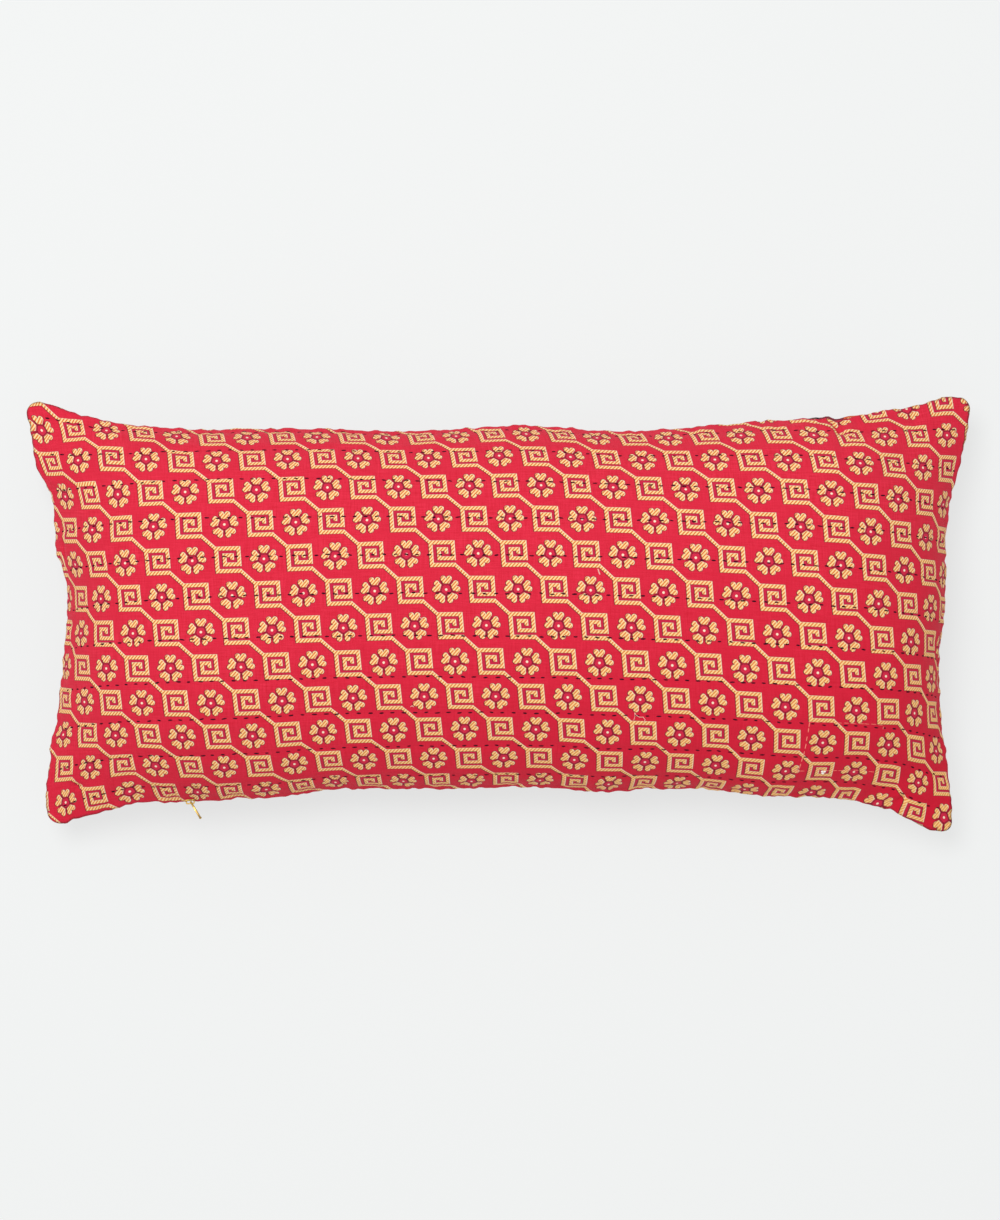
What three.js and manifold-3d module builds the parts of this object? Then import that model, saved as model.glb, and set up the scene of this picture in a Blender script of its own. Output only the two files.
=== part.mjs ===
// A lumbar pillow lying on its back: one filled cushion, and the small brass slider and pull of the zip
// in its near long seam. Millimetres, +Z up. The origin is under the middle of the pillow, on the surface
// that it lies on, +X runs along its length and +Y points to the far long seam.
import * as THREE from "three";
import { mergeVertices } from "three/addons/utils/BufferGeometryUtils.js";
import Module from "manifold-3d";

// Cloth sizes, measured over the cloth from seam to seam
const CLOTH_LENGTH = 900;
const CLOTH_WIDTH = 412;

// How the filled cloth falls from the crown to the seam: its slope grows along the last stretch of cloth
const SEAM_SLOPE = THREE.MathUtils.degToRad(75);
const SLOPE_POWER = 1.7;
const LEFT_END_RUN = 226;
const RIGHT_END_RUN = 196;

// Heights above the surface
const SEAM_HEIGHT = 78;
const CORNER_DROOP = 23;
const BACK_BULGE = 96;
const FLOOR_EASE = 7;

// The flat that it rests on, a rectangle in plan, and how the underside lifts off round it
const REST_FLAT = { left: -290, right: 300, near: -82, far: 92 };
const REST_LIFT = 0.6;
const REST_SLOPE = 0.03;

// How the outline departs from an even one
const NEAR_GATHER = 0.05;
const FAR_GATHER = 0.012;
const CORNER_GATHER = 0.02;
const GATHER_POWER = 4;
const SIDE_DRAW_POWER = 2.5;
const BODY_SHIFT_X = 6;
const BODY_SHIFT_Y = 5.5;
const CENTRING = { x: -0.6, y: -0.56 };
const CORNER_RADIUS = { farLeft: 10, farRight: 11, nearLeft: 20, nearRight: 13 };

// How the seams stray from an even outline: a place along the seam, the half width of the stray, and how
// far the seam stands out in plan or up there. Places are x on the long seams and y on the end seams.
const SEAM_STRAYS = [
  { seam: "far", at: -372, reach: 105, out: -12, up: 0 },
  { seam: "far", at: -445, reach: 62, out: 5, up: 0 },
  { seam: "far", at: -95, reach: 75, out: -2.5, up: 0 },
  { seam: "far", at: 22, reach: 60, out: 3, up: 1 },
  { seam: "far", at: 118, reach: 55, out: -2.5, up: -1 },
  { seam: "far", at: 272, reach: 95, out: 8, up: 2 },
  { seam: "far", at: 325, reach: 60, out: 0, up: 9 },
  { seam: "far", at: 448, reach: 75, out: 4, up: 0 },
  { seam: "near", at: -436, reach: 50, out: 4, up: 0 },
  { seam: "near", at: -388, reach: 58, out: -7, up: -2 },
  { seam: "near", at: -338, reach: 26, out: -3, up: 3 },
  { seam: "near", at: -290, reach: 34, out: 5, up: -1 },
  { seam: "near", at: -289, reach: 24, out: -2.6, up: 0 },
  { seam: "near", at: -226, reach: 82, out: 9, up: -2 },
  { seam: "near", at: 100, reach: 42, out: 3, up: 2 },
  { seam: "near", at: 262, reach: 72, out: 7, up: -2 },
  { seam: "near", at: 376, reach: 34, out: -7, up: 4 },
  { seam: "near", at: 438, reach: 52, out: 6, up: 0 },
  { seam: "left", at: 196, reach: 50, out: 4.5, up: 0 },
  { seam: "left", at: 112, reach: 105, out: 11, up: 0 },
  { seam: "left", at: -30, reach: 60, out: 2, up: 0 },
  { seam: "left", at: -95, reach: 90, out: 5, up: 0 },
  { seam: "left", at: -160, reach: 45, out: 3, up: 0 },
  { seam: "right", at: 172, reach: 85, out: 7, up: 0 },
  { seam: "right", at: -85, reach: 95, out: -6, up: 0 },
  { seam: "right", at: -208, reach: 40, out: 6, up: 0 },
];

const LONG_STRAY_POWER = 3;
const END_STRAY_POWER = 7;

// Soft troughs and swells of the upper face: place, half length, half width, turn and height
const FACE_FOLDS = [
  { x: 322, y: 178, long: 62, wide: 15, turn: -8, up: -5 },
  { x: -392, y: -60, long: 100, wide: 16, turn: 86, up: -4 },
  { x: 372, y: -160, long: 55, wide: 16, turn: 38, up: -4 },
  { x: -388, y: 148, long: 58, wide: 17, turn: -42, up: -4.5 },
  { x: 385, y: 150, long: 60, wide: 17, turn: 40, up: -4 },
  { x: -378, y: -148, long: 52, wide: 15, turn: 40, up: -4.5 },
  { x: 150, y: 20, long: 190, wide: 90, turn: 4, up: 3 },
  { x: -190, y: -20, long: 150, wide: 90, turn: -6, up: -2.5 },
];

// The solid's net of cells, closer together towards the seams
const CELLS_ALONG = 68;
const CELLS_ACROSS = 28;
const CROWDING = 1.3;

// The zip's slider and pull
const SLIDER_PLACE = -0.677;
const SLIDER_LENGTH = 10.5;
const SLIDER_WIDE_END = 8;
const SLIDER_NARROW_END = 5.4;
const SLIDER_PLATE = 1.7;
const BRIDGE_LENGTH = 8.4;
const BRIDGE_WIDTH = 2.1;
const BRIDGE_BAR = 1.1;
const BRIDGE_GAP = 2.1;
const PULL_LENGTH = 18.5;
const PULL_NECK = 4.8;
const PULL_WIDTH = 5.6;
const PULL_THICKNESS = 1.5;
const PULL_EYE_BAR = 1.2;
const PULL_EYE_LENGTH = 2.9;
const PULL_DIRECTION = THREE.MathUtils.degToRad(-59);
const PULL_BEAD = 2.6;
const TOUCH_GAP = 0.3;
const EDGE_ROUND = 0.25;

// The run of a face from its crown (0) to its seam (1): how far it has come in plan, and the height left.
function faceRun(steps = 240) {
  const plan = [0];
  const fall = [0];
  for (let i = 0; i < steps; i += 1) {
    const slope = SEAM_SLOPE * Math.pow((i + 0.5) / steps, SLOPE_POWER);
    plan.push(plan[i] + Math.cos(slope) / steps);
    fall.push(fall[i] + Math.sin(slope) / steps);
  }
  const read = (list, w) => {
    const place = THREE.MathUtils.clamp(w, 0, 1) * steps;
    const i = Math.min(Math.floor(place), steps - 1);
    return THREE.MathUtils.lerp(list[i], list[i + 1], place - i);
  };
  return {
    reach: plan[steps],
    height: fall[steps],
    plan: (w) => read(plan, w),
    left: (w) => 1 - read(fall, w) / fall[steps],
  };
}

const RUN = faceRun();
const CROWN_RISE = (CLOTH_WIDTH / 2) * RUN.height;

// A soft bump of height 1 that ends at the given distance.
function bump(distance, reach) {
  const w = Math.min(Math.abs(distance) / reach, 1);
  return (1 - w * w) ** 2;
}

// Fullness and plan position along the pillow for a place u from -1 to 1.
function alongLength(u) {
  const run = u < 0 ? LEFT_END_RUN : RIGHT_END_RUN;
  const level = CLOTH_LENGTH / 2 - run;
  const w = Math.max(0, (Math.abs(u) * CLOTH_LENGTH) / 2 - level) / run;
  const drawn = w > 0 ? level + run * RUN.plan(w) : (Math.abs(u) * CLOTH_LENGTH) / 2;
  return { full: RUN.left(w), drawn: Math.sign(u) * drawn };
}

// Fullness and plan position across the pillow for a place v from -1 to 1.
function acrossWidth(v) {
  const w = Math.abs(v);
  return { full: RUN.left(w), drawn: Math.sign(v) * (CLOTH_WIDTH / 2) * RUN.plan(w) };
}

// Rounds the cloth's corner: moves a place near a corner of the flat cloth into the rounded tip.
function roundCorner(u, v) {
  const end = v > 0 ? "far" : "near";
  const radius = CORNER_RADIUS[end + (u > 0 ? "Right" : "Left")];
  const x = (Math.abs(u) * CLOTH_LENGTH) / 2;
  const y = (Math.abs(v) * CLOTH_WIDTH) / 2;
  const a = (x - CLOTH_LENGTH / 2 + radius) / radius;
  const b = (y - CLOTH_WIDTH / 2 + radius) / radius;
  if (a <= 0 || b <= 0) return { u, v };
  const roundX = CLOTH_LENGTH / 2 - radius + radius * a * Math.sqrt(1 - (b * b) / 2);
  const roundY = CLOTH_WIDTH / 2 - radius + radius * b * Math.sqrt(1 - (a * a) / 2);
  return { u: (Math.sign(u) * roundX * 2) / CLOTH_LENGTH, v: (Math.sign(v) * roundY * 2) / CLOTH_WIDTH };
}

// How far the strays of one seam move it at a place along it.
function seamStray(seam, at) {
  const sum = { out: 0, up: 0 };
  for (const stray of SEAM_STRAYS) {
    if (stray.seam !== seam) continue;
    const share = bump(at - stray.at, stray.reach);
    sum.out += stray.out * share;
    sum.up += stray.up * share;
  }
  return sum;
}

// The height that the face's troughs and swells add.
function foldHeight(x, y) {
  let sum = 0;
  for (const fold of FACE_FOLDS) {
    const turn = THREE.MathUtils.degToRad(fold.turn);
    const along = (x - fold.x) * Math.cos(turn) + (y - fold.y) * Math.sin(turn);
    const across = (y - fold.y) * Math.cos(turn) - (x - fold.x) * Math.sin(turn);
    sum += fold.up * bump(Math.hypot(along / fold.long, across / fold.wide), 1);
  }
  return sum;
}

// A point of the pillow. u and v run from -1 to 1 over the cloth, and face is 1 on top and -1 underneath.
function pillowPoint(uFlat, vFlat, face) {
  const { u, v } = roundCorner(uFlat, vFlat);
  const lengthwise = alongLength(u);
  const crosswise = acrossWidth(v);
  const gather = (v < 0 ? NEAR_GATHER : FAR_GATHER) * Math.abs(v) ** GATHER_POWER;
  const flatX = (u * CLOTH_LENGTH) / 2;
  const flatY = ((v * CLOTH_WIDTH) / 2) * (1 - CORNER_GATHER);
  const drawIn = lengthwise.full ** SIDE_DRAW_POWER;
  const evenX = THREE.MathUtils.lerp(flatX, lengthwise.drawn, crosswise.full) * (1 - gather);
  const shiftedX = evenX + BODY_SHIFT_X * crosswise.full;
  const evenY = THREE.MathUtils.lerp(flatY, crosswise.drawn, drawIn);
  const shiftedY = evenY + BODY_SHIFT_Y * lengthwise.full;
  const long = seamStray(v > 0 ? "far" : "near", shiftedX);
  const end = seamStray(u > 0 ? "right" : "left", shiftedY);
  const nearLong = Math.abs(v) ** LONG_STRAY_POWER;
  const nearEnd = Math.abs(u) ** END_STRAY_POWER;
  const x = shiftedX + Math.sign(u) * end.out * nearEnd;
  const y = shiftedY + Math.sign(v) * long.out * nearLong;

  const full = lengthwise.full * crosswise.full;
  const droop = CORNER_DROOP * (1 - lengthwise.full) * (1 - crosswise.full);
  const seam = SEAM_HEIGHT - droop + long.up * nearLong;
  if (face > 0) return new THREE.Vector3(x, y, seam + CROWN_RISE * full + foldHeight(x, y) * Math.sqrt(full));
  const hanging = Math.max(0, seam - BACK_BULGE * full);
  const eased = ((hanging * hanging) / (hanging + FLOOR_EASE)) * ((seam + FLOOR_EASE) / seam);
  return new THREE.Vector3(x, y, Math.max(eased, liftOffRest(x, y)));
}

// How high the underside stands at least, so that only the rectangle rests.
function liftOffRest(x, y) {
  const { left, right, near, far } = REST_FLAT;
  const outside = Math.max(left - x, x - right, near - y, y - far);
  return outside > 0 ? REST_LIFT + REST_SLOPE * outside : 0;
}

// Moves the nearest of the underside's points to each corner of the flat that it rests on.
function setRestCorners(points) {
  for (const x of [REST_FLAT.left, REST_FLAT.right]) {
    for (const y of [REST_FLAT.near, REST_FLAT.far]) {
      const corner = new THREE.Vector3(x, y, 0);
      const nearest = points.reduce((a, b) => (a.distanceTo(corner) < b.distanceTo(corner) ? a : b));
      nearest.copy(corner);
    }
  }
}

// Places from -1 to 1 for the net's lines, crowded towards both ends.
function netLines(cells) {
  const lines = [];
  for (let i = 0; i <= cells; i += 1) {
    const k = (2 * i) / cells - 1;
    lines.push(Math.sign(k) * (1 - (1 - Math.abs(k)) ** CROWDING));
  }
  return lines;
}

// The filled cushion: an upper and a lower net of cells that share their rim.
function pillowGeometry() {
  const us = netLines(CELLS_ALONG);
  const vs = netLines(CELLS_ACROSS);
  const points = [];
  const index = [];
  const nodeAt = { top: [], bottom: [] };
  for (const [name, face] of [["top", 1], ["bottom", -1]]) {
    for (let i = 0; i <= CELLS_ALONG; i += 1) {
      nodeAt[name].push([]);
      for (let j = 0; j <= CELLS_ACROSS; j += 1) {
        const rim = i === 0 || j === 0 || i === CELLS_ALONG || j === CELLS_ACROSS;
        if (rim && face < 0) {
          nodeAt[name][i].push(nodeAt.top[i][j]);
          continue;
        }
        nodeAt[name][i].push(points.length);
        points.push(pillowPoint(us[i], vs[j], face));
      }
    }
  }
  for (let i = 0; i < CELLS_ALONG; i += 1) {
    for (let j = 0; j < CELLS_ACROSS; j += 1) {
      for (const name of ["top", "bottom"]) {
        const n = nodeAt[name];
        const a = n[i][j];
        const b = n[i + 1][j];
        const c = n[i + 1][j + 1];
        const d = n[i][j + 1];
        const leftHalf = i < CELLS_ALONG / 2;
        const nearHalf = j < CELLS_ACROSS / 2;
        const cell = leftHalf === nearHalf ? [a, b, c, a, c, d] : [a, b, d, b, c, d];
        index.push(...(name === "top" ? cell : cell.reverse()));
      }
    }
  }
  setRestCorners(points);
  const geometry = new THREE.BufferGeometry().setFromPoints(points);
  geometry.setIndex(index);
  geometry.computeVertexNormals();
  return geometry;
}

// Joins closed geometries into one solid.
const manifold = await Module();
manifold.setup();

function solidOf(geometry) {
  const bare = geometry.index ? geometry.toNonIndexed() : geometry.clone();
  bare.deleteAttribute("normal");
  bare.deleteAttribute("uv");
  const merged = mergeVertices(bare, 1e-4);
  return new manifold.Manifold(
    new manifold.Mesh({
      numProp: 3,
      vertProperties: merged.getAttribute("position").array,
      triVerts: new Uint32Array(merged.index.array),
    }),
  );
}

function geometryOf(solid) {
  const mesh = solid.getMesh();
  const geometry = new THREE.BufferGeometry();
  geometry.setAttribute("position", new THREE.BufferAttribute(mesh.vertProperties, 3));
  geometry.setIndex(new THREE.BufferAttribute(mesh.triVerts, 1));
  geometry.computeVertexNormals();
  return geometry;
}

// A flat piece of an outline with slightly rounded edges, lying on z = 0 with its thickness upwards.
function roundedPlate(outline, thickness) {
  const plate = new THREE.ExtrudeGeometry(outline, {
    depth: thickness - 2 * EDGE_ROUND,
    bevelEnabled: true,
    bevelThickness: EDGE_ROUND,
    bevelSize: EDGE_ROUND,
    bevelOffset: -EDGE_ROUND,
    bevelSegments: 2,
    curveSegments: 8,
  });
  return plate.translate(0, 0, EDGE_ROUND);
}

// The slider in its own frame: length along x, width along y, and z out of the seam.
function sliderGeometry() {
  const half = SLIDER_LENGTH / 2;
  const wide = SLIDER_WIDE_END / 2;
  const narrow = SLIDER_NARROW_END / 2;
  const shield = new THREE.Shape();
  shield.moveTo(-half, -narrow + 1);
  shield.quadraticCurveTo(-half, -narrow, -half + 1, -narrow);
  shield.quadraticCurveTo(0, -narrow, half - 3, -wide);
  shield.quadraticCurveTo(half, -wide, half, -wide + 2.4);
  shield.lineTo(half, wide - 2.4);
  shield.quadraticCurveTo(half, wide, half - 3, wide);
  shield.quadraticCurveTo(0, narrow, -half + 1, narrow);
  shield.quadraticCurveTo(-half, narrow, -half, narrow - 1);
  const plate = roundedPlate(shield, SLIDER_PLATE);

  const foot = BRIDGE_LENGTH / 2;
  const top = BRIDGE_GAP + BRIDGE_BAR;
  const arch = new THREE.Shape();
  arch.moveTo(-foot, -SLIDER_PLATE / 2);
  arch.lineTo(-foot + BRIDGE_BAR, -SLIDER_PLATE / 2);
  arch.lineTo(-foot + BRIDGE_BAR, BRIDGE_GAP - 1);
  arch.quadraticCurveTo(-foot + BRIDGE_BAR, BRIDGE_GAP, -foot + BRIDGE_BAR + 1, BRIDGE_GAP);
  arch.lineTo(foot - BRIDGE_BAR - 1, BRIDGE_GAP);
  arch.quadraticCurveTo(foot - BRIDGE_BAR, BRIDGE_GAP, foot - BRIDGE_BAR, BRIDGE_GAP - 1);
  arch.lineTo(foot - BRIDGE_BAR, -SLIDER_PLATE / 2);
  arch.lineTo(foot, -SLIDER_PLATE / 2);
  arch.lineTo(foot, top - 1.6);
  arch.quadraticCurveTo(foot, top, foot - 1.8, top);
  arch.lineTo(-foot + 1.8, top);
  arch.quadraticCurveTo(-foot, top, -foot, top - 1.6);
  const bridge = roundedPlate(arch, BRIDGE_WIDTH);
  bridge.translate(0, 0, -BRIDGE_WIDTH / 2).rotateX(Math.PI / 2).translate(0, 0, SLIDER_PLATE);
  return geometryOf(solidOf(plate).add(solidOf(bridge)));
}

// The pull in its own frame: length along x from the middle of its eye bar, width along y.
function pullGeometry() {
  const neck = PULL_NECK / 2;
  const wide = PULL_WIDTH / 2;
  const back = -PULL_EYE_BAR / 2;
  const tab = new THREE.Shape();
  tab.moveTo(back, -neck + 0.6);
  tab.quadraticCurveTo(back, -neck, back + 0.6, -neck);
  tab.lineTo(PULL_EYE_LENGTH + 1.5, -neck + 0.2);
  tab.bezierCurveTo(PULL_LENGTH * 0.4, -neck + 0.2, PULL_LENGTH * 0.45, -wide, PULL_LENGTH * 0.72, -wide);
  tab.bezierCurveTo(PULL_LENGTH * 0.9, -wide, PULL_LENGTH, -wide * 0.75, PULL_LENGTH, 0);
  tab.bezierCurveTo(PULL_LENGTH, wide * 0.75, PULL_LENGTH * 0.9, wide, PULL_LENGTH * 0.72, wide);
  tab.bezierCurveTo(PULL_LENGTH * 0.45, wide, PULL_LENGTH * 0.4, neck - 0.2, PULL_EYE_LENGTH + 1.5, neck - 0.2);
  tab.lineTo(back + 0.6, neck);
  tab.quadraticCurveTo(back, neck, back, neck - 0.6);
  const eye = new THREE.Path();
  const eyeHalf = BRIDGE_WIDTH / 2 + TOUCH_GAP;
  eye.moveTo(PULL_EYE_BAR / 2, -eyeHalf);
  eye.lineTo(PULL_EYE_BAR / 2, eyeHalf);
  eye.lineTo(PULL_EYE_BAR / 2 + PULL_EYE_LENGTH, eyeHalf);
  eye.lineTo(PULL_EYE_BAR / 2 + PULL_EYE_LENGTH, -eyeHalf);
  tab.holes.push(eye);
  const plate = roundedPlate(tab, PULL_THICKNESS).translate(0, 0, -PULL_THICKNESS / 2);
  const bead = new THREE.SphereGeometry(PULL_BEAD / 2, 16, 10).scale(0.9, PULL_WIDTH / PULL_BEAD / 1.5, 1);
  bead.translate(PULL_LENGTH - PULL_BEAD * 0.35, 0, 0);
  return geometryOf(solidOf(plate).add(solidOf(bead)));
}

const clothMaterial = new THREE.MeshStandardMaterial({ color: 0xd8284a, roughness: 0.85, metalness: 0 });
const brassMaterial = new THREE.MeshStandardMaterial({ color: 0xc8a050, roughness: 0.32, metalness: 1 });

function pillow() {
  const mesh = new THREE.Mesh(pillowGeometry(), clothMaterial);
  mesh.name = "pillow";
  return mesh;
}

// The slider sits flat on the near seam, and its pull swings out from the bridge.
function zip() {
  const group = new THREE.Group();
  const seat = pillowPoint(SLIDER_PLACE, -1, 1);
  const before = pillowPoint(SLIDER_PLACE - 0.012, -1, 1);
  const after = pillowPoint(SLIDER_PLACE + 0.012, -1, 1);
  const outermost = Math.min(seat.y, before.y, after.y);
  const alongSeam = new THREE.Vector3().subVectors(after, before).setZ(0).normalize();
  const out = new THREE.Vector3(alongSeam.y, -alongSeam.x, 0);
  const frame = new THREE.Matrix4().makeBasis(alongSeam, new THREE.Vector3(0, 0, 1), out);
  group.quaternion.setFromRotationMatrix(frame);
  group.position.set(seat.x, outermost - TOUCH_GAP, seat.z);

  const slider = new THREE.Mesh(sliderGeometry(), brassMaterial);
  slider.name = "zip_slider";
  group.add(slider);

  const pull = new THREE.Mesh(pullGeometry(), brassMaterial);
  pull.name = "zip_pull";
  const eyeHeight = SLIDER_PLATE + BRIDGE_GAP / 2;
  pull.position.set(0.4, 0, eyeHeight);
  pull.rotation.y = PULL_DIRECTION - Math.atan2(alongSeam.y, alongSeam.x);
  group.add(pull);
  return group;
}

const lumbarPillow = new THREE.Group();
lumbarPillow.add(pillow(), zip());
lumbarPillow.position.set(CENTRING.x, CENTRING.y, 0);

export default lumbarPillow;
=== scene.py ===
# The looks of a lumbar pillow that lies on its back: a printed, quilted cover round a soft filling,
# running stitches, a patch and loose threads, and a brass zip slider and pull. Metres, +Z up.
import math

import bmesh
import bpy
import numpy as np
from mathutils import Matrix, Vector


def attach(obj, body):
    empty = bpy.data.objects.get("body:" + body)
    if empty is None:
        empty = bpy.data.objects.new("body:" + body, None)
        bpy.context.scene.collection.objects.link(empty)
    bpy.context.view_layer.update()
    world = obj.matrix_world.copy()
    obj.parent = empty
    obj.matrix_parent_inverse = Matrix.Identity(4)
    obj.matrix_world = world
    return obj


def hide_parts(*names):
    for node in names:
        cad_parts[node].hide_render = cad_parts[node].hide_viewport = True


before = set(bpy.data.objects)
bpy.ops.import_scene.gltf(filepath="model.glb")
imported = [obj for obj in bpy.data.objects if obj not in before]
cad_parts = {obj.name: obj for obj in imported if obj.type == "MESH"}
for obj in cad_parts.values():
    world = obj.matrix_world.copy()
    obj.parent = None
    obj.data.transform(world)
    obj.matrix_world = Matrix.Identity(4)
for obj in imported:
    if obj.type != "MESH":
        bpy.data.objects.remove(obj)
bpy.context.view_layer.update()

MM = 0.001

# Cloth sizes, measured over the cloth from seam to seam
CLOTH_LENGTH = 900 * MM
CLOTH_WIDTH = 412 * MM

# How the filled cloth falls from its crown to the seam
SEAM_SLOPE = math.radians(75)
SLOPE_POWER = 1.7
LEFT_END_RUN = 226 * MM
RIGHT_END_RUN = 196 * MM

# Heights above the surface
SEAM_HEIGHT = 78 * MM
CORNER_DROOP = 23 * MM
BACK_BULGE = 96 * MM
FLOOR_EASE = 7 * MM

# How the outline departs from an even one
NEAR_GATHER = 0.05
FAR_GATHER = 0.012
CORNER_GATHER = 0.02
GATHER_POWER = 4
SIDE_DRAW_POWER = 2.5
BODY_SHIFT = Vector((6, 5.5)) * MM
CENTRING = Vector((-0.6, -0.56)) * MM
CORNER_RADII = {"far left": 15 * MM, "far right": 11 * MM, "near left": 20 * MM, "near right": 10 * MM}
LONG_STRAY_POWER = 3
END_STRAY_POWER = 7

# How the seams stray from an even outline, in mm: a place along the seam, the half width of the stray, and
# how far the seam stands out in plan, or up, there. Places are x on the long seams and y on the end seams.
SEAM_STRAYS = {
    "far": [
        {"at": -445, "reach": 62, "out": 5},
        {"at": -372, "reach": 105, "out": -12},
        {"at": -95, "reach": 75, "out": -2.5},
        {"at": 22, "reach": 60, "out": 3, "up": 1},
        {"at": 118, "reach": 55, "out": -2.5, "up": -1},
        {"at": 272, "reach": 95, "out": 8, "up": 2},
        {"at": 325, "reach": 60, "out": 0, "up": 9},
        {"at": 448, "reach": 75, "out": 4},
        {"at": -278, "reach": 42, "out": -2.5},
        {"at": 197, "reach": 28, "out": 1.8},
        {"at": 356, "reach": 22, "out": 1.8},
        {"at": 395, "reach": 26, "out": -2.4},
        {"at": 321, "reach": 11, "out": -2.6, "up": -2},
    ],
    "near": [
        {"at": -436, "reach": 50, "out": 4},
        {"at": -388, "reach": 58, "out": -7, "up": -2},
        {"at": -338, "reach": 26, "out": -3, "up": 3},
        {"at": -290, "reach": 34, "out": 5, "up": -1},
        {"at": -226, "reach": 82, "out": 9, "up": -2},
        {"at": 100, "reach": 42, "out": 3, "up": 2},
        {"at": 262, "reach": 72, "out": 7, "up": -2},
        {"at": 376, "reach": 34, "out": -7, "up": 4},
        {"at": 438, "reach": 52, "out": 6},
        {"at": -350, "reach": 30, "out": -2.8},
        {"at": -262, "reach": 24, "out": 2.6},
        {"at": 18, "reach": 55, "out": -1.8},
        {"at": 341, "reach": 22, "out": -3.4},
        {"at": 392, "reach": 26, "out": 3.2},
    ],
    "left": [
        {"at": 196, "reach": 50, "out": 4.5},
        {"at": 112, "reach": 105, "out": 11},
        {"at": -30, "reach": 60, "out": 2},
        {"at": -95, "reach": 90, "out": 5},
        {"at": -160, "reach": 45, "out": 3},
        {"at": 150, "reach": 30, "out": 4},
        {"at": 106, "reach": 28, "out": -5},
        {"at": 58, "reach": 24, "out": 3},
        {"at": -122, "reach": 20, "out": 2.2},
    ],
    "right": [
        {"at": 172, "reach": 85, "out": 7},
        {"at": -85, "reach": 95, "out": -6},
        {"at": -208, "reach": 40, "out": 4.5},
        {"at": 30, "reach": 36, "out": 1.4},
        {"at": -36, "reach": 30, "out": -1.7},
    ],
}

# Soft troughs and swells of the printed face, in mm and degrees: half sizes, turn and height
FACE_FOLDS = [
    {"x": 322, "y": 178, "long": 62, "wide": 15, "turn": -8, "up": -5},
    {"x": -392, "y": -60, "long": 100, "wide": 16, "turn": 86, "up": -4},
    {"x": 372, "y": -160, "long": 55, "wide": 16, "turn": 38, "up": -4},
    {"x": -388, "y": 148, "long": 58, "wide": 17, "turn": -42, "up": -4.5},
    {"x": 385, "y": 150, "long": 60, "wide": 17, "turn": 40, "up": -4},
    {"x": -378, "y": -148, "long": 52, "wide": 15, "turn": 40, "up": -4.5},
    {"x": 150, "y": 20, "long": 190, "wide": 90, "turn": 4, "up": 3},
    {"x": -190, "y": -20, "long": 150, "wide": 90, "turn": -6, "up": -2.5},
]

# Sharp little tucks where a seam catches the face, in mm and degrees
TUCKS = [
    {"x": 321, "y": 190, "long": 15, "wide": 4.5, "turn": -78, "up": -4.5},
    {"x": -413, "y": -172, "long": 12, "wide": 3.2, "turn": -22, "up": -3.5},
    {"x": -436, "y": 60, "long": 16, "wide": 4, "turn": 80, "up": -2.2},
    {"x": -439, "y": -20, "long": 20, "wide": 4, "turn": 97, "up": -2.2},
    {"x": 438, "y": -30, "long": 18, "wide": 4, "turn": 84, "up": -2.0},
    {"x": -150, "y": -194, "long": 11, "wide": 3.5, "turn": 62, "up": -1.8},
    {"x": -330, "y": -192, "long": 12, "wide": 3.5, "turn": 100, "up": -2.2},
    {"x": 395, "y": -190, "long": 16, "wide": 4, "turn": 58, "up": -2.6},
    {"x": -405, "y": 192, "long": 14, "wide": 4, "turn": -60, "up": -2.2},
]

# Where the back cloth rolls over the far seam and shows from above
BACK_ROLL = {"at": 322 * MM, "reach": 72 * MM, "out": 7.6 * MM, "width": 9 * MM}

# Mends of other cloth on the back, at the far seam near the right end, in mm
BACK_MENDS = [
    {"middle": 298, "half_width": 14, "lower_edge": 165, "colour": (44, 10, 26)},
    {"middle": 349, "half_width": 14, "lower_edge": 165, "colour": (216, 86, 34)},
]

# How far the rim stands out past the form, its ripples, and how far the front cloth is turned under it
RIM_OUT = 0.8 * MM
RIM_RIPPLE = 2.0 * MM
RIM_WAVES = (11 * MM, 17 * MM, 27 * MM, 45 * MM)
RIM_FADE = 6 * MM
CORNER_CALM = 25 * MM
SEAM_WRAP = 6.5 * MM

# The sewn relief: the welt beside the seams, the puckers at them, and the filling's lumps
WELT_DEPTH = 0.9 * MM
WELT_PLACE = 5 * MM
WELT_WIDTH = 2.6 * MM
PUCKER_HEIGHT = 1.9 * MM
PUCKER_REACH = 24 * MM
PUCKER_WAVES = (13 * MM, 19 * MM, 31 * MM)
BROAD_LUMPS = {"height": 1.3 * MM, "size": 75 * MM, "seed": 11}
SMALL_LUMPS = {"height": 0.55 * MM, "size": 26 * MM, "seed": 21}
LUMPS_START = 30 * MM
FULL_RELIEF_THICKNESS = 16 * MM
LEAST_HEIGHT = 0.4 * MM

# The nets of cells: a coarse one that is blown up as cloth, and the fine one that shows
COARSE_CELLS = (72, 34)
FINE_CELLS = (300, 136)

# The cloth simulation
CLOTH_PRESSURE = 4
CLOTH_STEPS = 20
DETAIL_CAP = 7 * MM
CROWN_CAP = 5 * MM

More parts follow.
